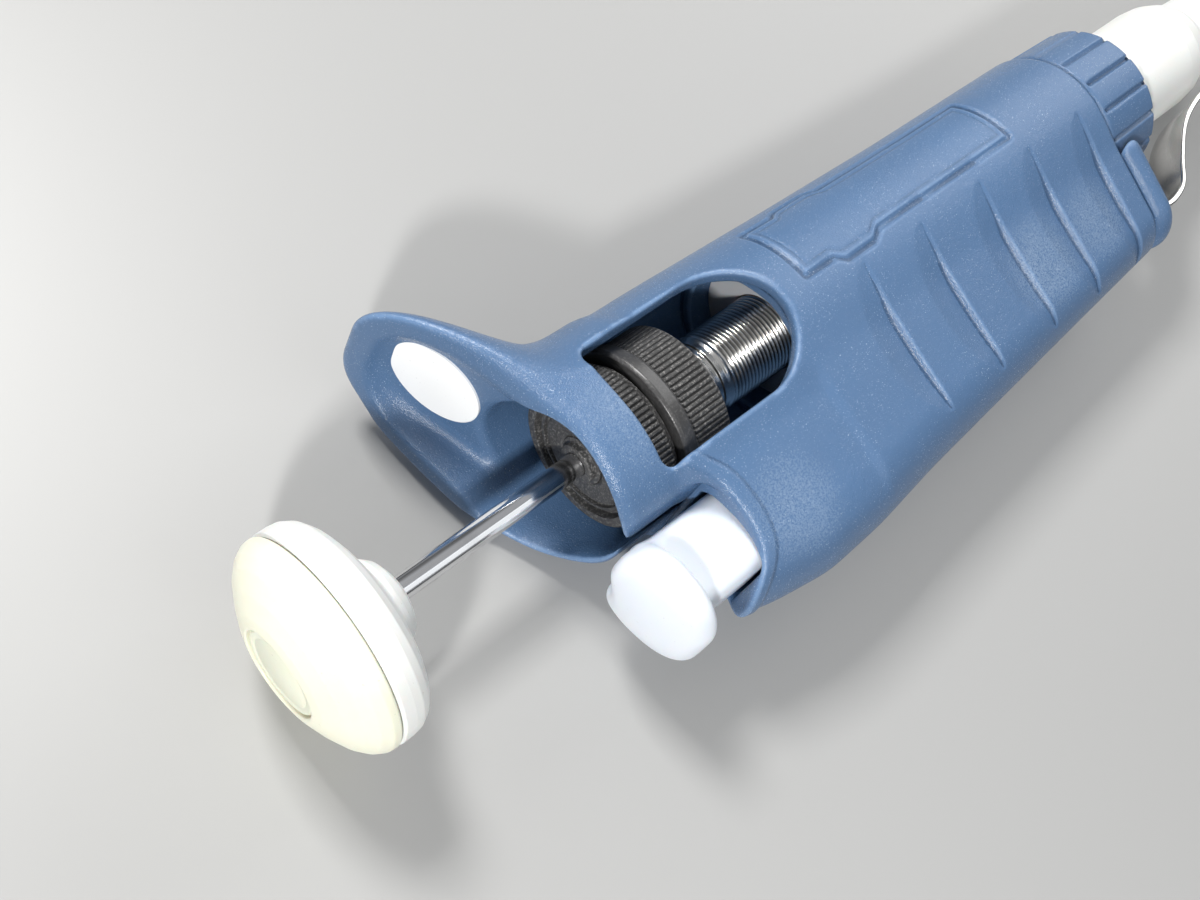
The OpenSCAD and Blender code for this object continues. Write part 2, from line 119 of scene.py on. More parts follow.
def lathe(name, profile, material, body, stands_for, segments=128, relief=None, weighted=True):
    """A turned piece. The profile lists (radius, height) and is closed; relief(angle, radius, height)
    is how deep the surface is cut, which is also kept for the material."""
    r = np.array([p[0] for p in profile])
    z = np.array([p[1] for p in profile])
    theta = np.linspace(0, 2 * math.pi, segments, endpoint=False)
    radius = np.repeat(r[:, None], segments, 1)
    sunk = np.zeros_like(radius)
    if relief is not None:
        sunk = sunk + relief(theta[None, :], radius, z[:, None])
    radius = radius - sunk
    height = np.repeat(z[:, None], segments, 1)
    verts = np.stack([radius * np.cos(theta), radius * np.sin(theta), height], -1).reshape(-1, 3)
    rows = len(profile)
    i = np.arange(rows)[:, None]
    j = np.arange(segments)[None, :]
    k, m = (i + 1) % rows, (j + 1) % segments
    faces = np.stack([i * segments + j, i * segments + m, k * segments + m, k * segments + j], -1)
    made = mesh_object(name, verts, faces.reshape(-1, 4), material, body, stands_for, weighted)
    store(made, "sunk", sunk)
    return made


def smin(a, b, k):
    """The smaller of two distances, blended over k where they are nearly equal."""
    h = np.clip(0.5 + 0.5 * (b - a) / k, 0, 1)
    return b + (a - b) * h - k * h * (1 - h)


def smax(a, b, k):
    return -smin(-a, -b, k)


def rounded_box(x, y, half_x, half_y, radius):
    """Signed distance to a rectangle with round corners."""
    qx = np.abs(x) - (half_x - radius)
    qy = np.abs(y) - (half_y - radius)
    return np.hypot(np.maximum(qx, 0), np.maximum(qy, 0)) + np.minimum(np.maximum(qx, qy), 0) - radius


def two_circles(x, y, r1, r2, gap):
    """Signed distance to the outline drawn round a circle at the origin and one at (gap, 0)."""
    slope = (r1 - r2) / gap
    level = np.sqrt(1 - slope * slope)
    py = np.abs(y)
    k = -slope * py + level * x
    first = np.hypot(x, py) - r1
    second = np.hypot(x - gap, py) - r2
    side = level * py + slope * x - r1
    return np.where(k < 0, first, np.where(k > level * gap, second, side))


def sample(field, p):
    """Trilinear value of a grid at fractional grid positions."""
    limit = np.array(field.shape) - 1.001
    p = np.clip(p, 0, limit)
    i = p.astype(np.int32)
    t = (p - i).astype(np.float32)
    out = 0
    for a in (0, 1):
        for b in (0, 1):
            for c in (0, 1):
                w = ((t[:, 0] if a else 1 - t[:, 0]) * (t[:, 1] if b else 1 - t[:, 1])
                     * (t[:, 2] if c else 1 - t[:, 2]))
                out = out + w * field[i[:, 0] + a, i[:, 1] + b, i[:, 2] + c]
    return out


def crossing_points(field):
    """The grid cells the surface runs through, and the middle of the places where it cuts their edges."""
    corners = [(a, b, c) for a in (0, 1) for b in (0, 1) for c in (0, 1)]
    inside = field < 0
    n = field.shape
    count = np.zeros([k - 1 for k in n], np.int8)
    for a, b, c in corners:
        count += inside[a:n[0] - 1 + a, b:n[1] - 1 + b, c:n[2] - 1 + c]
    cells = np.argwhere((count > 0) & (count < 8))
    value = {c: field[cells[:, 0] + c[0], cells[:, 1] + c[1], cells[:, 2] + c[2]] for c in corners}
    total = np.zeros((len(cells), 3), np.float32)
    hits = np.zeros(len(cells), np.float32)
    for c in corners:
        for axis in range(3):
            if c[axis]:
                continue
            d = tuple(1 if k == axis else c[k] for k in range(3))
            a, b = value[c], value[d]
            cross = (a < 0) != (b < 0)
            t = np.where(cross, a / np.where(cross, a - b, 1), 0)
            for k in range(3):
                total[:, k] += np.where(cross, c[k] + (t if k == axis else 0), 0)
            hits += cross
    return cells, cells + total / hits[:, None]


def pull_to_zero(field, points, step):
    """Move points, given in grid steps, along the slope of the field to where it is zero."""
    for _ in range(3):
        here = sample(field, points)
        rise = [sample(field, points + e) - sample(field, points - e) for e in np.eye(3) * 0.5]
        grad = np.stack(rise, -1)
        square = np.maximum((grad ** 2).sum(1), 0.05 * step * step)
        move = -(here / square)[:, None] * grad
        points = points + np.clip(move, -0.35, 0.35)
    return points


def join_cells(inside, cells):
    """An outward quad, of four cell numbers, round each grid edge that the surface cuts."""
    n = inside.shape
    number = np.full([k - 1 for k in n], -1, np.int32)
    number[cells[:, 0], cells[:, 1], cells[:, 2]] = np.arange(len(cells))
    quads = []
    for axis in range(3):
        u, v = (axis + 1) % 3, (axis + 2) % 3
        first = np.take(inside, range(n[axis] - 1), axis)
        second = np.take(inside, range(1, n[axis]), axis)
        at = np.argwhere(first != second)
        keep = (at[:, u] > 0) & (at[:, v] > 0) & (at[:, u] < n[u] - 1) & (at[:, v] < n[v] - 1)
        at = at[keep]
        eu, ev = np.eye(3, dtype=int)[u], np.eye(3, dtype=int)[v]
        ring = [at - eu - ev, at - ev, at, at - eu]
        quad = np.stack([number[p[:, 0], p[:, 1], p[:, 2]] for p in ring], 1)
        outward = first[at[:, 0], at[:, 1], at[:, 2]]
        quad[~outward] = quad[~outward][:, ::-1]
        quads.append(quad)
    return np.concatenate(quads)


def relax(verts, quads, distance, step):
    """Space the vertices evenly on the surface; how sharply it bends outwards at each comes back too."""
    following = np.roll(quads, -1, 1).ravel()
    ends = np.concatenate([quads.ravel(), following])
    others = np.concatenate([following, quads.ravel()])
    share = np.maximum(np.bincount(ends, minlength=len(verts)), 1)[:, None]

    def around(values):
        """The mean of each vertex's neighbours."""
        return np.stack([np.bincount(ends, col[others], len(verts)) for col in values.T], -1) / share

    for _ in range(2):
        verts = verts + 0.4 * (around(verts) - verts)
        verts, slope = settle(verts, distance, 0.3 * step)
    slope /= np.maximum(np.linalg.norm(slope, axis=1), 1e-6)[:, None]
    bend = ((verts - around(verts)) * slope).sum(1)[:, None] * 4 / step ** 2
    for _ in range(2):
        bend = 0.5 * bend + 0.5 * around(np.clip(bend, -3, 3))
    return verts, bend


def shell(name, low, high, step, distance, material, body, stands_for):
    """A smooth closed surface round the space where distance(x, y, z) is negative."""
    axes = [np.arange(a, b + step, step, dtype=np.float32) for a, b in zip(low, high)]
    x, y, z = axes[0][:, None, None], axes[1][None, :, None], axes[2][None, None, :]
    field = np.broadcast_to(distance(x, y, z), [len(a) for a in axes]).astype(np.float32)
    cells, points = crossing_points(field)
    points = pull_to_zero(field, points, step)
    quads = join_cells(field < 0, cells)
    verts, bend = relax(points * step + np.array(low), quads, distance, step)
    made = mesh_object(name, verts, quads, material, body, stands_for)
    store(made, "ridge", bend)


def settle(verts, distance, reach):
    """Move each vertex along the distance's slope onto the surface itself; the slope comes back too."""
    h = 0.04
    here = distance(*verts.T)
    rise = [distance(*(verts + e).T) - distance(*(verts - e).T) for e in np.eye(3) * h]
    grad = np.stack(rise, -1) / (2 * h)
    size = np.maximum((grad ** 2).sum(1), 0.2)
    return verts + np.clip(-(here / size)[:, None] * grad, -reach, reach), grad


# ---------------------------------------------------------------- materials

class Shader:
    """A Principled material with object-space noises to build on."""

    def __init__(self, name, color, roughness, metallic=0.0):
        self.mat = bpy.data.materials.new(name)
        self.mat.use_nodes = True
        self.tree = self.mat.node_tree
        self.bsdf = self.tree.nodes["Principled BSDF"]
        self.coord = self.tree.nodes.new("ShaderNodeTexCoord").outputs["Object"]
        self.bsdf.inputs["Metallic"].default_value = metallic
        self.color = self.rgb(color)
        self.rough = self.value(roughness)
        self.normal = None

    def link(self, a, b):
        self.tree.links.new(a, b)

    def node(self, kind, **settings):
        made = self.tree.nodes.new(kind)
        for key, val in settings.items():
            setattr(made, key, val)
        return made

    def rgb(self, color):
        made = self.node("ShaderNodeRGB")
        made.outputs[0].default_value = (*color, 1)
        return made.outputs[0]

    def value(self, number):
        made = self.node("ShaderNodeValue")
        made.outputs[0].default_value = number
        return made.outputs[0]

    def noise(self, scale, detail=3.0, rough=0.55, stretch=(1, 1, 1)):
        mapping = self.node("ShaderNodeMapping")
        mapping.inputs["Scale"].default_value = stretch
        self.link(self.coord, mapping.inputs["Vector"])
        made = self.node("ShaderNodeTexNoise")
        made.inputs["Scale"].default_value = scale
        made.inputs["Detail"].default_value = detail
        made.inputs["Roughness"].default_value = rough
        self.link(mapping.outputs[0], made.inputs["Vector"])
        return made.outputs["Fac"]

    def band(self, source, low, high, out_low=0.0, out_high=1.0):
        made = self.node("ShaderNodeMapRange", interpolation_type="SMOOTHSTEP")
        for key, val in zip(("From Min", "From Max", "To Min", "To Max"), (low, high, out_low, out_high)):
            made.inputs[key].default_value = val
        self.link(source, made.inputs["Value"])
        return made.outputs["Result"]

    def maths(self, operation, a, b):
        made = self.node("ShaderNodeMath", operation=operation)
        for socket, val in zip(made.inputs, (a, b)):
            if isinstance(val, (int, float)):
                socket.default_value = val
            else:
                self.link(val, socket)
        return made.outputs[0]

    def tint(self, factor, color):
        """Mix the colour so far towards another where factor is high."""
        made = self.node("ShaderNodeMix", data_type="RGBA")
        self.link(factor, made.inputs["Factor"])
        self.link(self.color, made.inputs["A"])
        if isinstance(color, tuple):
            made.inputs["B"].default_value = (*color, 1)
        else:
            self.link(color, made.inputs["B"])
        self.color = made.outputs["Result"]

    def roughen(self, factor, amount):
        self.rough = self.maths("ADD", self.rough, self.maths("MULTIPLY", factor, amount))

    def bump(self, height, depth_mm):
        made = self.node("ShaderNodeBump")
        made.inputs["Strength"].default_value = 1.0
        made.inputs["Distance"].default_value = depth_mm * MM
        self.link(height, made.inputs["Height"])
        if self.normal is not None:
            self.link(self.normal, made.inputs["Normal"])
        self.normal = made.outputs["Normal"]

    def near(self, point_mm, radius_mm):
        """1 near a point, falling to 0 at the radius."""
        made = self.node("ShaderNodeVectorMath", operation="DISTANCE")
        self.link(self.coord, made.inputs[0])
        made.inputs[1].default_value = [c * MM for c in point_mm]
        return self.band(made.outputs["Value"], radius_mm * MM, 0.25 * radius_mm * MM)

    def stored(self, name, low, high):
        """A number kept in the mesh, from 0 at low to 1 at high."""
        return self.band(self.node("ShaderNodeAttribute", attribute_name=name).outputs["Fac"], low, high)

    def sunk(self, low, high):
        """How deep a knurl or thread is cut here, between two depths in millimetres."""
        return self.stored("sunk", low, high)

    def ridges(self, low, high):
        """How sharply the surface bends here, in 1/mm: outwards is positive, inwards negative."""
        return self.stored("ridge", low, high)

    def done(self, **inputs):
        self.link(self.color, self.bsdf.inputs["Base Color"])
        self.link(self.rough, self.bsdf.inputs["Roughness"])
        if self.normal is not None:
            self.link(self.normal, self.bsdf.inputs["Normal"])
        for key, val in inputs.items():
            self.bsdf.inputs[key.replace("_", " ")].default_value = val
        return self.mat


def blue_plastic():
    s = Shader("blue_plastic", (0.066, 0.127, 0.238), 0.25)
    s.tint(s.band(s.noise(45, 2), 0.35, 0.7, 0, 0.35), (0.064, 0.135, 0.262))
    # Convex edges painted lighter: partly edge wear, partly painted highlight along the rims and rib steps.
    s.tint(s.maths("MULTIPLY", s.ridges(0.35, 1.8), 0.45), (0.17, 0.27, 0.44))
    # Grooves and creases painted darker: painted shade in the hollows.
    s.tint(s.maths("MULTIPLY", s.ridges(-0.3, -1.2), 0.75), (0.018, 0.045, 0.10))
    s.bump(s.noise(5200, 2, 0.6), 0.075)
    s.bump(s.noise(900, 2), 0.04)
    dust = s.band(s.noise(8000, 1.0, 0.4), 0.69, 0.75)
    dust = s.maths("MULTIPLY", dust, s.band(s.noise(160, 3), 0.38, 0.62, 0.25, 1.0))
    s.tint(s.maths("MULTIPLY", dust, 0.8), (0.46, 0.54, 0.64))
    s.roughen(dust, 0.3)
    # Pale grainy patches on the barrel: partly scuffs, partly painted highlight; the patch at RING - 4
    # paints the shine on the lobe's shoulder below the ejector pocket.
    scuffs_and_highlights = (((15.5, 7.5, RING - 57), 8, 0.42), ((15.0, 7.0, RING - 69), 7, 0.36),
              ((1.0, 12.0, RING + 7), 8, 0.25), ((20.0, 8.0, RING - 4), 8, 0.3))
    for place, reach, strength in scuffs_and_highlights:
        scuff_and_highlight = s.maths("MULTIPLY", s.band(s.noise(4200, 5, 0.8), 0.42, 0.66), s.near(place, reach))
        s.tint(s.maths("MULTIPLY", scuff_and_highlight, strength), (0.36, 0.44, 0.54))
        s.roughen(scuff_and_highlight, 0.15)
    return s.done()


def light_plastic(name, color, roughness, warm):
    s = Shader(name, color, roughness)
    s.tint(s.band(s.noise(70, 3), 0.45, 0.75, 0, 0.25), warm)
    s.bump(s.noise(1500, 3), 0.012)
    grime = s.band(s.noise(2300, 2, 0.5), 0.71, 0.77)
    s.tint(s.maths("MULTIPLY", grime, 0.45), (0.42, 0.40, 0.36))
    s.roughen(s.noise(300, 3), 0.10)
    return s.done(Subsurface_Weight=0.12, Subsurface_Scale=0.002)


def black_plastic(name, roughness, dusty):
    s = Shader(name, (0.040, 0.0395, 0.040), roughness)
    s.bump(s.noise(3600, 2), 0.03)
    dust = s.band(s.noise(3400, 4, 0.75), 0.50, 0.66)
    s.tint(s.maths("MULTIPLY", dust, dusty), (0.34, 0.335, 0.325))
    # Knurl grooves painted near black by their depth: painted shade in the cuts.
    s.tint(s.maths("MULTIPLY", s.sunk(0.04, 0.2), 0.85), (0.010, 0.010, 0.010))
    s.roughen(dust, 0.2)
    return s.done()


def metal(name, color, roughness, brushed=(1, 1, 1), depth=0.006):
    """Bare metal; brushed stretches its fine marks along an axis where it is under 1."""
    s = Shader(name, color, roughness, metallic=1.0)
    lines = s.noise(1400, 3, 0.6, brushed)
    s.bump(lines, depth)
    s.roughen(s.band(lines, 0.3, 0.8), 0.10)
    s.tint(s.band(s.noise(240, 3), 0.5, 0.8, 0, 0.3), tuple(0.72 * c for c in color))
    # Cut parts of the surface, the thread's grooves most of all, painted dark: painted shade.
    s.tint(s.maths("MULTIPLY", s.sunk(0.1, 0.3), 0.8), tuple(0.08 * c for c in color))
    return s.done()


def rubber():
    s = Shader("black_rubber", (0.015, 0.015, 0.015), 0.62)
    s.bump(s.noise(2500, 3), 0.03)
    return s.done()


def clear_plastic():
    s = Shader("clear_plastic", (0.93, 0.96, 0.97), 0.04)
    s.bump(s.noise(600, 2), 0.003)
    s.roughen(s.band(s.noise(1500, 3), 0.6, 0.8), 0.08)
    return s.done(Transmission_Weight=1.0, IOR=1.49)


def printed_film():
    s = Shader("white_label", (0.86, 0.87, 0.88), 0.26)
    s.bump(s.noise(700, 2), 0.006)
    s.tint(s.band(s.noise(2400, 2), 0.70, 0.78, 0, 0.5), (0.45, 0.45, 0.45))
    return s.done()


MATERIALS = {
    "blue_plastic": blue_plastic(),
    "white_label": printed_film(),
    "cream_plastic": light_plastic("cream_plastic", (0.72, 0.72, 0.59), 0.27, (0.67, 0.67, 0.53)),
    "white_plastic": light_plastic("white_plastic", (0.69, 0.70, 0.685), 0.32, (0.63, 0.62, 0.56)),
    "cool_white_plastic": light_plastic("cool_white_plastic", (0.63, 0.67, 0.73), 0.30, (0.56, 0.61, 0.69)),
    "grey_plastic": light_plastic("grey_plastic", (0.36, 0.37, 0.39), 0.42, (0.30, 0.31, 0.33)),
    "red_plastic": light_plastic("red_plastic", (0.50, 0.03, 0.02), 0.40, (0.40, 0.03, 0.02)),
    "clear_plastic": clear_plastic(),
    "black_plastic": black_plastic("black_plastic", 0.42, 0.55),
    "black_satin": black_plastic("black_satin", 0.30, 0.15),
    "brass": metal("brass", (0.70, 0.52, 0.24), 0.25),
    "steel": metal("steel", (0.68, 0.67, 0.65), 0.16, (1, 1, 0.4), 0.002),
    "polished_steel": metal("polished_steel", (0.66, 0.65, 0.64), 0.13, (1, 1, 0.03), 0.004),
    "chromed_steel": metal("chromed_steel", (0.74, 0.74, 0.75), 0.09, (1, 1, 0.02), 0.003),
    "spring_steel": metal("spring_steel", (0.42, 0.42, 0.43), 0.28),
    "black_rubber": rubber(),
}


# ---------------------------------------------------------------- handle

# Each table lists heights from RING, or places across for the rims, and then the value at each.
BARREL_R = ([-84, -52, -29, -8, 1, 6, 14, 24], [11.2, 11.6, 12.3, 13.1, 13.3, 12.9, 12.4, 12.4])
LOBE_EDGE = ([-84, -80, -62, -38, -27, -16, -6.5, 1.6, 6.3],
             [22, 22.3, 23.7, 25.6, 26.5, 27.8, 28.2, 26.9, 25.7])
LOBE_R = ([-84, -8, 4], [5.6, 8.6, 8.0])
HOOK_REACH = ([2, 6, 9, 10.5, 12.5, 14.6, 17, 19, 21, 23, 24.5],
              [13.3, 14.0, 15.3, 16.7, 19.2, 22.2, 25.2, 26.9, 27.9, 28.1, 27.8])
HOOK_CORNER = ([2, 17, 22, 24], [12.2, 12.2, 10.5, 9])
BACK_RIM = ([-28, -26, -24.9, -22.5, -19.3, -14.8, -9.4, -3.7, 1.5, 9, 12],
            [23, 21.9, 20.7, 19.6, 18.1, 16.3, 14.9, 13.9, 13.75, 13.9, 14.2])
FRONT_RIM = ([-28, -25.3, -23.4, -16.6, -11.3, -6.3, -3.5, -0.2, 5, 9.3, 11.7],
             [24.3, 23.4, 22.8, 22.3, 21.8, 21.0, 20.1, 18.6, 16.4, 14.5, 13.0])
OPENING_RIM = ([9, 10.5, 11, 13.4, 18.2, 21.4, 24.1, 25.3, 27],
               [6, 4.6, 3.6, 2.6, 2.1, 2.7, 4.1, 6.2, 7.6])
RIB_EDGES = (-30.5, -41.6, -53.5, -64.0, -74.8)
SHELF_X, SHELF_Z, SHELF_SLOPE = -17.65, 17.65, 0.268
HOOK_WALL = 3.3
THROAT_R = 10.95
WINDOW_TOP = 7.0
WINDOW_LOW = -18
WINDOW_HALF = 8.35


def level(table, at):
    """A value read off a table whose corners are rounded off over about a millimetre and a half."""
    fine = np.arange(-120, 40, 0.2)
    raw = np.interp(fine, table[0], table[1])
    weight = np.exp(-0.5 * (np.arange(-20, 21) * 0.2 / 1.3) ** 2)
    return np.interp(at, fine[20:-20], np.convolve(raw, weight / weight.sum(), "valid")).astype(np.float32)


def step_up(a, b, t):
    """0 before a, 1 after b, and a smooth rise between; a may be the larger of the two."""
    s = np.clip((t - a) / (b - a), 0, 1)
    return s * s * (3 - 2 * s)


def grip_relief(x, y, w):
    """Depth of the finger grooves: each has a sharp lower edge and fades out towards the top."""
    span = np.clip((x - 2.2) / 20.5, 0, 1)
    mask = np.sqrt(np.maximum(4 * span * (1 - span), 0))
    depth = 0
    for edge in RIB_EDGES:
        rise = (w - edge + 0.5) / (4.3 * np.maximum(mask, 0.05))
        depth = depth + step_up(0, 0.18, rise) * np.clip(1.15 - rise, 0, 1)
    return 0.85 * depth * mask


def panel_relief(x, y, w):
    """A sunken line round the blank panel on the back of the barrel, with a fainter line inside it."""
    turn = np.degrees(np.arctan2(y, x)) - 115.0
    across = turn * math.pi / 180 * 12.2
    bulge = 1.1 * step_up(-36.5, -34, w) * step_up(-27.5, -29.5, w)
    outline = rounded_box(across, w + 42.7, 5.2 + bulge, 20.2, 0.4)
    groove = np.clip(1.4 - np.abs(outline) / 0.42, 0, 1)
    inner = np.clip(1.2 - np.abs(outline + 1.3) / 0.35, 0, 1)
    return np.where(np.abs(turn) < 60, 0.7 * groove + 0.25 * inner - 0.05 * step_up(0.2, -0.2, outline), 0)


def hook_distance(x, y, w):
    """The finger hook before it is hollowed: a round-cornered box that reaches further out as it rises."""
    reach, corner = level(HOOK_REACH, w), level(HOOK_CORNER, w)
    box = rounded_box(x + (reach - 3) / 2, y, (reach + 3) / 2, 12.25, corner)
    return smax(box, 1.5 - w, 1.5)


def handle_outside(x, y, w):
    """Barrel with the ejector lobe, finger hook with its sloping rim, and the neck inside the nut."""
    r1, edge, r2 = level(BARREL_R, w), level(LOBE_EDGE, w), level(LOBE_R, w)
    barrel = two_circles(x, y, r1, r2, edge - r2)
    lobe_step = 0.45 * step_up(-17.5, -15.5, w) * step_up(7.5, 12, x) * step_up(27.5, 22, x)
    barrel = barrel + grip_relief(x, y, w) + lobe_step + panel_relief(x, y, w)
    side = np.clip((12 - y) / 23, 0, 1)
    rim = (1 - side) * level(BACK_RIM, x) + side * level(FRONT_RIM, x)
    cup = smin(hook_distance(x, y, w), np.hypot(x, y) - r1, 3.5)
    cup = smax(smax(cup, x - 11.3, 1.6), w - rim, 1.8)
    opening = level(OPENING_RIM, x)
    lip = 0.3 * step_up(opening - 2.6, opening - 1.9, w) * step_up(2.5, 5, x)
    lobe = smax(barrel - lip, w - opening, 1.1)
    outer = smax(smin(lobe, cup, 1.8), -79.6 - w, 1.0)
    neck = np.maximum(np.hypot(x, y) - 9.4, np.maximum(-87.2 - w, w + 79))
    return np.minimum(outer, neck)


def handle_inside(x, y, w):
    """What is open at the top: throat, hollow of the hook, ejector's pocket and the gap towards it."""
    throat = np.maximum(np.hypot(x, y) - THROAT_R, WINDOW_LOW - w)
    floor = SHELF_Z - SHELF_SLOPE * (x - SHELF_X)
    hollow = smax(hook_distance(x, y, w) + HOOK_WALL, floor - w, 2.0)
    hollow = np.maximum(hollow, x - 3)
    inner = smin(throat, hollow, 1.2)
    gap = np.maximum(rounded_box(x - 12.6, y, 1.4, 7.7, 0.8), 3 - w)
    pocket = np.maximum(rounded_box(x - EJECTOR_X, y, 5.8, 5.8, 1.6), -16 - w)
    return smin(smin(inner, gap, 0.6), pocket, 0.6)


def handle_window(x, y, w):
    """The window in the back: square corners at its top, a half circle at its bottom."""
    centre = WINDOW_LOW + WINDOW_HALF
    middle, half_high = (WINDOW_LOW + WINDOW_TOP) / 2, (WINDOW_TOP - WINDOW_LOW) / 2
    square = rounded_box(x, w - middle, WINDOW_HALF, half_high, 1.6)
    arch = np.maximum(np.hypot(x, w - centre) - WINDOW_HALF, w - centre)
    return np.maximum(np.where(w < centre, arch, square), 3 - y)


def handle_cavities(x, y, w):
    """The bores for counter, pinions, plunger, tip holder and ejector rod, and the display's opening."""
    return (
        np.maximum(np.hypot(x, y) - 9.6, np.abs(w + 39) - 21.1),
        np.maximum(np.hypot(x - 10.2, y) - 3.1, np.abs(w + 48) - 12),
        np.maximum(np.hypot(x, y) - 7.2, np.abs(w + 70) - 11),
        np.maximum(np.hypot(x, y) - 8.1, np.abs(w + 84) - 9),
        np.maximum(np.hypot(x - EJECTOR_X, y) - 2.4, np.abs(w + 43) - 29),
        np.maximum(np.hypot(x - EJECTOR_X, y) - 1.75, np.abs(w + 75) - 10),
        np.maximum(np.maximum(np.abs(x) - 3.3, np.abs(w + 46.8) - 9.8), np.abs(y + 12) - 4),
        np.maximum(np.maximum(np.abs(x) - 4.0, np.abs(w + 46.8) - 11.1), np.abs(y + 13) - 2.05),
    )


def handle_distance(x, y, z):
    w = z - RING
    solid = smax(handle_outside(x, y, w), -handle_inside(x, y, w), 0.7)
    solid = smax(solid, -handle_window(x, y, w), 0.9)
    for hole in handle_cavities(x, y, w):
        solid = smax(solid, -hole, 0.25)
    return solid


def build_hook_label():
    """The blank white disc on the shelf of the finger hook."""
    disc = rounded([(0, -0.3), (6.3, -0.3), (6.4, -0.2, 0.05), (6.4, 0.2, 0.1), (6.2, 0.3, 0.1), (0, 0.3)])
    made = lathe("hook_label_disc", disc, MATERIALS["white_label"], "handle", ["hook_label"])
    tilt = Matrix.Rotation(math.atan(SHELF_SLOPE), 4, "Y")
    made.data.transform(Matrix.Translation(Vector((SHELF_X, 0, RING + SHELF_Z + 0.15)) * MM) @ tilt)


def build_handle():
    step = 0.27
    shell("handle_shell", (-29.5, -15, 95), (29.5, 15, 209.5), step, handle_distance,
          MATERIALS["blue_plastic"], "handle", ["handle_body"])


# ---------------------------------------------------------------- push button and rod

def build_push_button():
    cap = rounded([(0, 0.02), (13.25, 0.02), (13.6, 0.3, 0.3), (13.52, 1.2, 0.8), (12.85, 2.35, 1.2),
                   (11.6, 3.5, 2), (9.4, 4.75, 3), (7.1, 5.75, 2), (5.85, 6.1, 0.5), (5.62, 5.95, 0.15),
                   (5.6, 5.42, 0.1), (0, 5.4)], 5)
    lathe("push_button_cap_shell", [(r, BUTTON + h) for r, h in cap], MATERIALS["cream_plastic"],
          "push_button", ["push_button_cap"])
    hub = rounded([(1.52, -9.9), (2.3, -9.9, 0.3), (3.3, -9.55, 0.6), (4.6, -8.9, 0.8), (5.45, -7.9, 0.8),
                   (5.65, -7.2, 0.5), (6.7, -6.65, 0.8), (8.2, -6.15, 1.5), (10.2, -5.55, 1.5),
                   (11.8, -4.8, 1.2), (12.9, -3.9, 1), (13.5, -2.8, 0.8), (13.65, -1.7, 0.8),
                   (13.65, -0.35, 0.25), (13.3, -0.06, 0.15), (0.02, -0.05), (0.02, -3.98),
                   (1.52, -3.98)], 5)
    lathe("push_button_hub_shell", [(r, BUTTON + h) for r, h in hub], MATERIALS["white_plastic"],
          "push_button", ["push_button_hub"])
    label = rounded([(0, 5.43), (5.3, 5.43, 0.1), (5.4, 5.6, 0.08), (5.25, 5.78, 0.1), (4.6, 5.78),
                     (4.5, 5.71), (4.35, 5.71), (4.25, 5.78), (0, 5.78)], 3)
    lathe("push_button_label_shell", [(r, BUTTON + h) for r, h in label], MATERIALS["cream_plastic"],
          "push_button", ["push_button_label"])
    rod = rounded([(0, 116.5), (1.3, 116.5, 0.1), (1.5, 116.7, 0.1), (1.5, BUTTON - 4.2, 0.1),
                   (0, BUTTON - 4.05)])
    lathe("operating_rod_shell", rod, MATERIALS["chromed_steel"], "push_button", ["operating_rod"],
          96)


# ---------------------------------------------------------------- volume setting

def knurl_relief(low, high):
    """Upright grooves round the rim between two heights, fading out at both."""
    def relief(theta, radius, z):
        phase = np.abs(((theta * KNURL_TEETH / (2 * math.pi)) % 1) - 0.5) * 2
        tooth = step_up(0.45, 0.85, phase)
        outside = (radius > 9.3) * step_up(low, low + 0.5, z) * step_up(high, high - 0.5, z)
        return KNURL_DEPTH * tooth * outside
    return relief


def dense(points, step):
    """The same polyline with points no further apart than step."""
    out = [points[0]]
    for a, b in zip(points, points[1:]):
        length = math.hypot(b[0] - a[0], b[1] - a[1])
        n = max(1, int(length / step))
        out += [(a[0] + (b[0] - a[0]) * i / n, a[1] + (b[1] - a[1]) * i / n) for i in range(1, n + 1)]
    return out


def build_thumbwheel():
    low = RING - 5.85
    lower = rounded([(5.02, low), (9.35, low, 0.3), (9.7, low + 0.35, 0.25), (9.7, RING - 0.45, 0.25),
                     (9.4, RING - 0.1, 0.2), (7.5, RING - 0.1), (7.5, RING + 2.4), (1.72, RING + 2.4),
                     (1.72, RING - 0.38), (5.02, RING - 0.38)])
    lathe("thumbwheel_lower_shell", dense(lower, 0.5), MATERIALS["black_plastic"], "thumbwheel",
          ["thumbwheel_lower"], KNURL_TEETH * 8, knurl_relief(low, RING - 0.1))
    base, knurl_top, top = RING + 2.5, RING + 9.3, RING + 10.0
    upper = rounded([(3.22, base), (8.9, base, 0.2), (9.0, base + 0.5, 0.2), (9.35, base + 0.7, 0.2),
                     (9.7, base + 1.1, 0.25), (9.7, knurl_top - 0.3, 0.25), (9.35, knurl_top, 0.2),
                     (9.2, top - 0.2, 0.2), (8.9, top, 0.2), (7.85, top, 0.1), (7.8, top - 1.1, 0.1),
                     (7.05, top - 1.1, 0.1), (7.0, top - 0.35, 0.1), (6.6, top - 0.35, 0.1),
                     (6.55, top - 0.9, 0.1), (6.1, top - 0.9, 0.1), (6.05, top - 0.5, 0.1),
                     (3.22, top - 0.5, 0.1)])
    lathe("thumbwheel_upper_shell", dense(upper, 0.5), MATERIALS["black_plastic"], "thumbwheel",
          ["thumbwheel_upper"], KNURL_TEETH * 8, knurl_relief(base + 0.7, knurl_top))
    ring = rounded([(7.56, RING + 0.02), (10.1, RING + 0.02, 0.2), (10.35, RING + 0.35, 0.3),
                    (10.72, RING + 1.9, 0.3), (10.5, RING + 2.38, 0.25), (7.56, RING + 2.38)])
    lathe("guide_ring_shell", ring, MATERIALS["black_satin"], "wheel_carriage", ["guide_ring"],
          160)


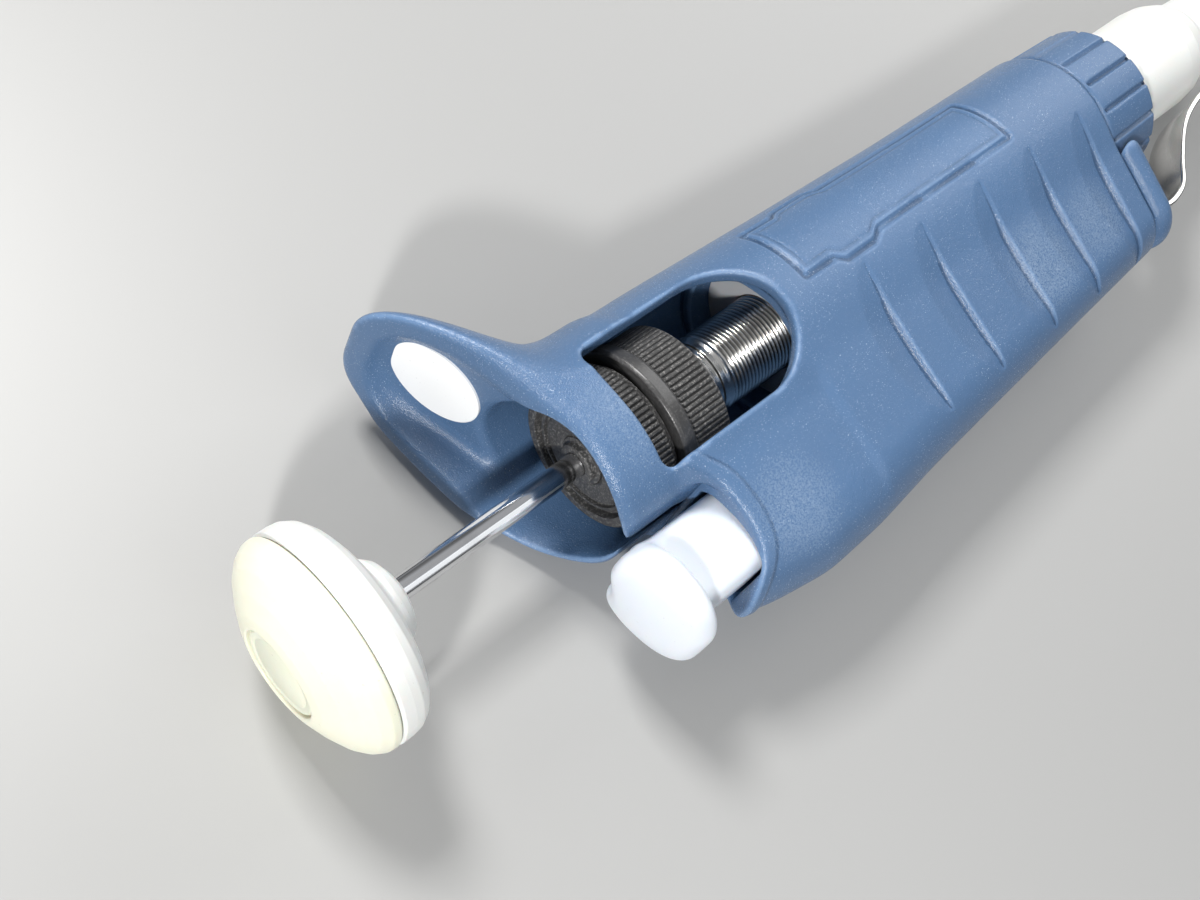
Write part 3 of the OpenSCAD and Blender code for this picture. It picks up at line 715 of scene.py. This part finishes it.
def thread_relief(theta, radius, z):
    """A real helix of V grooves between the screw's lower end and its collars."""
    phase = (z / SCREW_PITCH - theta / (2 * math.pi)) % 1
    tooth = np.abs(phase - 0.5) * 2
    fade = step_up(RING - 10.8, RING - 11.6, z) * step_up(SCREW_LOW, SCREW_LOW + 0.6, z)
    return 0.36 * tooth * fade * (radius > 5.15)


def stem_flats(theta, radius, z):
    """Two flats along the stem, which the drive sleeve turns with."""
    flat = 2.78 / np.maximum(np.abs(np.sin(theta)), 0.2)
    return np.maximum(radius - flat, 0) * (radius > 2.9)


def build_screw():
    body = rounded([(1.72, SCREW_LOW), (5.0, SCREW_LOW), (5.25, SCREW_LOW + 0.3), (5.25, RING - 10.6),
                    (5.1, RING - 10.3, 0.1), (5.1, RING - 9.6, 0.1), (4.85, RING - 9.4, 0.1),
                    (4.85, RING - 8.9, 0.1), (5.05, RING - 8.7, 0.1), (5.05, RING - 8.1),
                    (4.5, RING - 7.8, 0.2), (4.5, RING - 6.6, 0.2), (4.9, RING - 6.3, 0.1),
                    (4.98, RING - 5.9, 0.1), (4.98, RING - 0.42), (1.72, RING - 0.42)])
    lathe("micrometer_screw_shell", dense(body, 0.075), MATERIALS["steel"], "thumbwheel", (),
          96, thread_relief, weighted=False)
    stem_top = SCREW_LOW + 0.2
    stem = rounded([(1.72, STEM_LOW), (3.1, STEM_LOW, 0.2), (3.18, STEM_LOW + 0.4, 0.1),
                    (3.18, stem_top), (1.72, stem_top)])
    lathe("micrometer_screw_stem", stem, MATERIALS["steel"], "thumbwheel", ["micrometer_screw"],
          96, stem_flats, weighted=False)


# ---------------------------------------------------------------- nut and tip holder

def build_nut():
    top = NUT_LOW + 11.2

    def flutes(theta, radius, z):
        phase = np.abs(((theta * NUT_FLUTES / (2 * math.pi)) % 1) - 0.5) * 2
        outside = (radius > 10.2) * step_up(top - 0.4, top - 1.6, z)
        return 0.75 * step_up(0.80, 0.93, phase) * outside

    profile = rounded([(8.12, NUT_LOW), (10.3, NUT_LOW, 0.4), (11.0, NUT_LOW + 0.7, 0.6),
                       (11.3, top - 1.2, 0.5), (11.3, top - 0.5, 0.4), (10.8, top, 0.4),
                       (9.55, top, 0.1), (9.55, NUT_LOW + 1.5), (8.12, NUT_LOW + 1.5)])
    lathe("connecting_nut_shell", dense(profile, 0.5), MATERIALS["blue_plastic"], "nut",
          ["connecting_nut"], NUT_FLUTES * 24, flutes, weighted=False)


def build_tip_holder():
    outside = rounded([(0.62, 0), (2.15, 0, 0.1), (2.25, 0.15, 0.1), (2.25, 4, 0.5), (2.6, 14, 0.5),
                       (3.0, 15.5, 0.5), (3.0, 34, 1), (3.5, 37, 2), (5.6, 70, 2), (5.8, 72.4, 1),
                       (6.8, 74, 1), (7.6, 76.4, 1.2), (7.9, 79, 1), (7.9, 94.6), (9.2, 94.6, 0.15),
                       (9.2, 96.6, 0.15), (8, 96.6), (8, 107.7, 0.2), (7.8, 108, 0.15), (6.1, 108),
                       (6.1, 76.1), (4.2, 76.1), (4.2, 73.2), (2.75, 73.2), (2.75, 71.2), (0.95, 71.2),
                       (0.95, 6), (0.62, 6)])
    lathe("tip_holder_shell", outside, MATERIALS["white_plastic"], "lower_part", ["tip_holder"])


# ---------------------------------------------------------------- ejector

def ejector_button_distance(x, y, z):
    """A rounded square stalk with a domed thumb pad on top, notched on the side that faces the plunger."""
    w = z - RING
    stalk = rounded_box(x - EJECTOR_X, y, 5.3, 5.3, 2.0)
    stalk = np.maximum(smax(stalk, -6 - w, 0.6), w - 13)
    across = rounded_box(x - 19.1, y - 0.2, 6.9, 8.8, 6.2)
    notch = 3.3 - np.hypot(x - 10.4, (y + 2.6) * 0.9)
    outline = smax(across, notch, 0.8)
    top = 17.3 - 0.022 * (x - 16) ** 2 - 0.025 * (y - 1) ** 2
    pad = smax(smax(outline, (w - top) * 0.95, 2.2), (11.9 - w) * 0.95, 1.8)
    return smin(stalk, pad, 0.9)


def ejector_foot_distance(x, y, z):
    """The plate beside the nut: hollowed to go round the nut, with a slot below for the arm."""
    w = z - RING
    plate = smax(two_circles(x, y, 11.45, 5.8, 16.7), np.abs(w + 82.3) - 1.9, 2.2)
    plate = smax(plate, 11.9 - np.hypot(x, y), 0.5)
    plate = smax(plate, 8.6 - x, 2.0)
    slot = np.maximum(np.maximum(np.abs(x - 19.1) - 0.45, np.abs(y) - 4.35), w + 83.2)
    return smax(plate, -slot, 0.1)


def build_ejector():
    pad_step, foot_step = ((0.3, 0.25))
    shell("ejector_button_shell", (9.5, -11.5, 176.5), (28.5, 11.5, 204), pad_step,
          ejector_button_distance, MATERIALS["cool_white_plastic"], "ejector", ["ejector_button"])
    shell("ejector_foot_shell", (5, -12.5, 97), (24, 12.5, 105), foot_step,
          ejector_foot_distance, MATERIALS["blue_plastic"], "ejector", ["ejector_foot"])
    build_arm()


def curve_through(points, pieces):
    """A smooth curve through all the points, in so many straight pieces from each to the next."""
    pts = np.array(points)
    path = []
    for i in range(len(pts) - 1):
        p0, p1, p2, p3 = pts[max(i - 1, 0)], pts[i], pts[i + 1], pts[min(i + 2, len(pts) - 1)]
        for s in range(pieces):
            t = s / pieces
            path.append(0.5 * ((2 * p1) + (p2 - p0) * t + (2 * p0 - 5 * p1 + 4 * p2 - p3) * t * t
                               + (3 * p1 - p0 - 3 * p2 + p3) * t ** 3))
    path.append(pts[-1])
    return np.array(path)


def strip_outline(thick, wide, radius):
    """The strip cut across: points (along its thickness, along its width) with rounded corners."""
    hx, hy = thick / 2 - radius, wide / 2 - radius
    out = []
    for cx, cy, start in ((hx, hy, 0), (-hx, hy, 90), (-hx, -hy, 180), (hx, -hy, 270)):
        for a in range(0, 91, 30):
            t = math.radians(start + a)
            out.append((cx + radius * math.cos(t), cy + radius * math.sin(t)))
    return out


def sweep(path, outline):
    """Vertices and quads of an outline carried along a path in the XZ plane and closed at both ends."""
    tangent = np.gradient(path, axis=0)
    tangent /= np.linalg.norm(tangent, axis=1)[:, None]
    normal = np.stack([tangent[:, 1], -tangent[:, 0]], 1)
    last = len(path) - 1
    verts = []
    for k, ((px, pz), (nx, nz)) in enumerate(zip(path, normal)):
        narrow = 0.97 if k in (0, last) else 1.0
        verts += [(px + nx * a * narrow, b * narrow, pz + nz * a * narrow) for a, b in outline]
    m = len(outline)
    faces = []
    for k in range(last):
        for j in range(m):
            q = (j + 1) % m
            faces.append((k * m + j, k * m + q, (k + 1) * m + q, (k + 1) * m + j))
    for k, flip in ((0, True), (last, False)):
        for j in range(1, m // 2):
            quad = [k * m + j - 1, k * m + j, k * m + m - 1 - j, k * m + (m - j) % m]
            faces.append(tuple(quad[::-1] if flip else quad))
    return verts, faces


def build_arm():
    """The polished strip, bent to run from the foot down along the tip holder."""
    control = [(19.05, 100.6), (19.05, 98.2), (18.0, 95.0), (14.8, 91.3), (11.5, 86.6), (9.8, 81.8),
               (9.1, 76), (7.2, 53), (5.3, 30), (5.3, 22.3)]
    verts, faces = sweep(curve_through(control, 12), strip_outline(ARM_THICK, ARM_WIDTH, 0.25))
    mesh_object("ejector_arm_shell", verts, faces, MATERIALS["polished_steel"], "ejector", ["ejector_arm"],
                weighted=True)


# ---------------------------------------------------------------- the remaining CAD nodes

def dress_cad_nodes():
    """Every CAD node still shown gets its material, welded vertices and softly broken edges."""
    slots = {s["node"]: s["material_slot"] for s in frame["record"]["subparts"]}
    springs = {"piston_spring", "blowout_spring", "ejector_spring"}
    for name, obj in frame["nodes"].items():
        if obj.hide_render:
            continue
        obj.data.materials.clear()
        obj.data.materials.append(MATERIALS[slots[name]])
        weld = obj.modifiers.new("weld", "WELD")
        weld.merge_threshold = 0.001 * MM
        if name not in springs:
            bevel = obj.modifiers.new("bevel", "BEVEL")
            bevel.width = 0.1 * MM
            bevel.segments = 2
            bevel.limit_method = "ANGLE"
            bevel.angle_limit = math.radians(35)
        obj.modifiers.new("weighted", "WEIGHTED_NORMAL").weight = NORMAL_WEIGHT
        obj.data.polygons.foreach_set("use_smooth", [True] * len(obj.data.polygons))


# ---------------------------------------------------------------- stage, light and camera

def floor_material():
    """Pale and plain; light and the camera pass through it from below."""
    mat = bpy.data.materials.new("pale_floor")
    mat.use_nodes = True
    tree = mat.node_tree
    bsdf = tree.nodes["Principled BSDF"]
    bsdf.inputs["Base Color"].default_value = (0.31, 0.31, 0.308, 1)
    bsdf.inputs["Roughness"].default_value = 0.45
    clear = tree.nodes.new("ShaderNodeBsdfTransparent")
    mix = tree.nodes.new("ShaderNodeMixShader")
    geometry = tree.nodes.new("ShaderNodeNewGeometry")
    path = tree.nodes.new("ShaderNodeLightPath")
    either = tree.nodes.new("ShaderNodeMath")
    either.operation = "MAXIMUM"
    tree.links.new(geometry.outputs["Backfacing"], either.inputs[0])
    tree.links.new(path.outputs["Is Shadow Ray"], either.inputs[1])
    tree.links.new(either.outputs[0], mix.inputs["Fac"])
    tree.links.new(bsdf.outputs[0], mix.inputs[1])
    tree.links.new(clear.outputs[0], mix.inputs[2])
    tree.links.new(mix.outputs[0], tree.nodes["Material Output"].inputs["Surface"])
    return mat


def build_floor():
    """One large square that the handle's front side lies on."""
    y, size = FLOOR_Y * MM, 2.5
    corners = [(-size, y, -size), (-size, y, size), (size, y, size), (size, y, -size)]
    data = bpy.data.meshes.new("floor")
    data.from_pydata(corners, [], [(0, 1, 2, 3)])
    data.materials.append(floor_material())
    floor = bpy.data.objects.new("floor", data)
    bpy.context.scene.collection.objects.link(floor)


def area_light(name, place, aim, size, watts, color=(1, 1, 1)):
    data = bpy.data.lights.new(name, "AREA")
    data.shape = "RECTANGLE"
    data.size, data.size_y = size
    data.energy = watts
    data.color = color
    light = bpy.data.objects.new(name, data)
    light.location = Vector(place)
    light.rotation_euler = (Vector(aim) - Vector(place)).to_track_quat("-Z", "Y").to_euler()
    bpy.context.scene.collection.objects.link(light)


def build_lights():
    middle = (0.0, 0.0, 0.17)
    area_light("key", (-0.30, 0.40, 0.20), middle, (0.13, 0.12), 2.9, (1.0, 0.99, 0.97))
    area_light("glint", (0.15, 0.25, 0.50), (0.012, 0.01, 0.14), (0.04, 0.04), 1.9, (1.0, 0.99, 0.97))
    area_light("fill", (0.40, 0.36, 0.10), middle, (0.4, 0.4), 0.55, (0.95, 0.98, 1.0))
    area_light("far", (-0.10, 0.25, -0.22), middle, (0.4, 0.2), 0.9)
    area_light("under", (0.12, -0.45, 0.28), middle, (0.4, 0.3), 1.6)
    studio_world()


def studio_world():
    """Soft surroundings: shades of grey by height, so that polished metal has bands to reflect."""
    world = bpy.data.worlds.new("studio")
    world.use_nodes = True
    tree = world.node_tree
    back = tree.nodes["Background"]
    coord = tree.nodes.new("ShaderNodeTexCoord")
    height = tree.nodes.new("ShaderNodeSeparateXYZ")
    ramp = tree.nodes.new("ShaderNodeValToRGB")
    span = tree.nodes.new("ShaderNodeMapRange")
    span.inputs["From Min"].default_value = -1.0
    tree.links.new(coord.outputs["Generated"], height.inputs[0])
    tree.links.new(height.outputs["Y"], span.inputs["Value"])
    tree.links.new(span.outputs["Result"], ramp.inputs["Fac"])
    tree.links.new(ramp.outputs["Color"], back.inputs["Color"])
    ramp.color_ramp.elements.remove(ramp.color_ramp.elements[0])
    ramp.color_ramp.elements[0].color = (1, 1, 1, 1)
    for place, shade in ((0.0, 0.30), (0.52, 0.12), (0.62, 0.75), (0.72, 0.22), (0.86, 0.30), (0.94, 1.0)):
        ramp.color_ramp.elements.new(place).color = (0.93 * shade, 0.96 * shade, shade, 1)
    back.inputs["Strength"].default_value = 0.45
    bpy.context.scene.world = world


def build_camera():
    """The camera solved from the picture: its three axes and its place, in millimetres."""
    data = bpy.data.cameras.new("camera")
    data.sensor_width = 36.0
    data.lens = 48.0
    data.clip_start = 0.01
    cam = bpy.data.objects.new("camera", data)
    right = Vector((0.63261, 0.26219, -0.72873))
    up = Vector((-0.75906, 0.39665, -0.51623))
    back = Vector((0.15370, 0.87973, 0.44995))
    place = Vector((29.25, 165.86, 91.71 + RING)) * MM
    turn = Matrix((right, up, back)).transposed().to_4x4()
    cam.matrix_world = Matrix.Translation(place) @ turn
    bpy.context.scene.collection.objects.link(cam)
    bpy.context.scene.camera = cam


build_handle()
build_hook_label()
build_push_button()
build_thumbwheel()
build_screw()
build_nut()
build_tip_holder()
build_ejector()
dress_cad_nodes()
build_floor()
build_lights()
build_camera()
bpy.context.scene.view_settings.view_transform = "Standard"
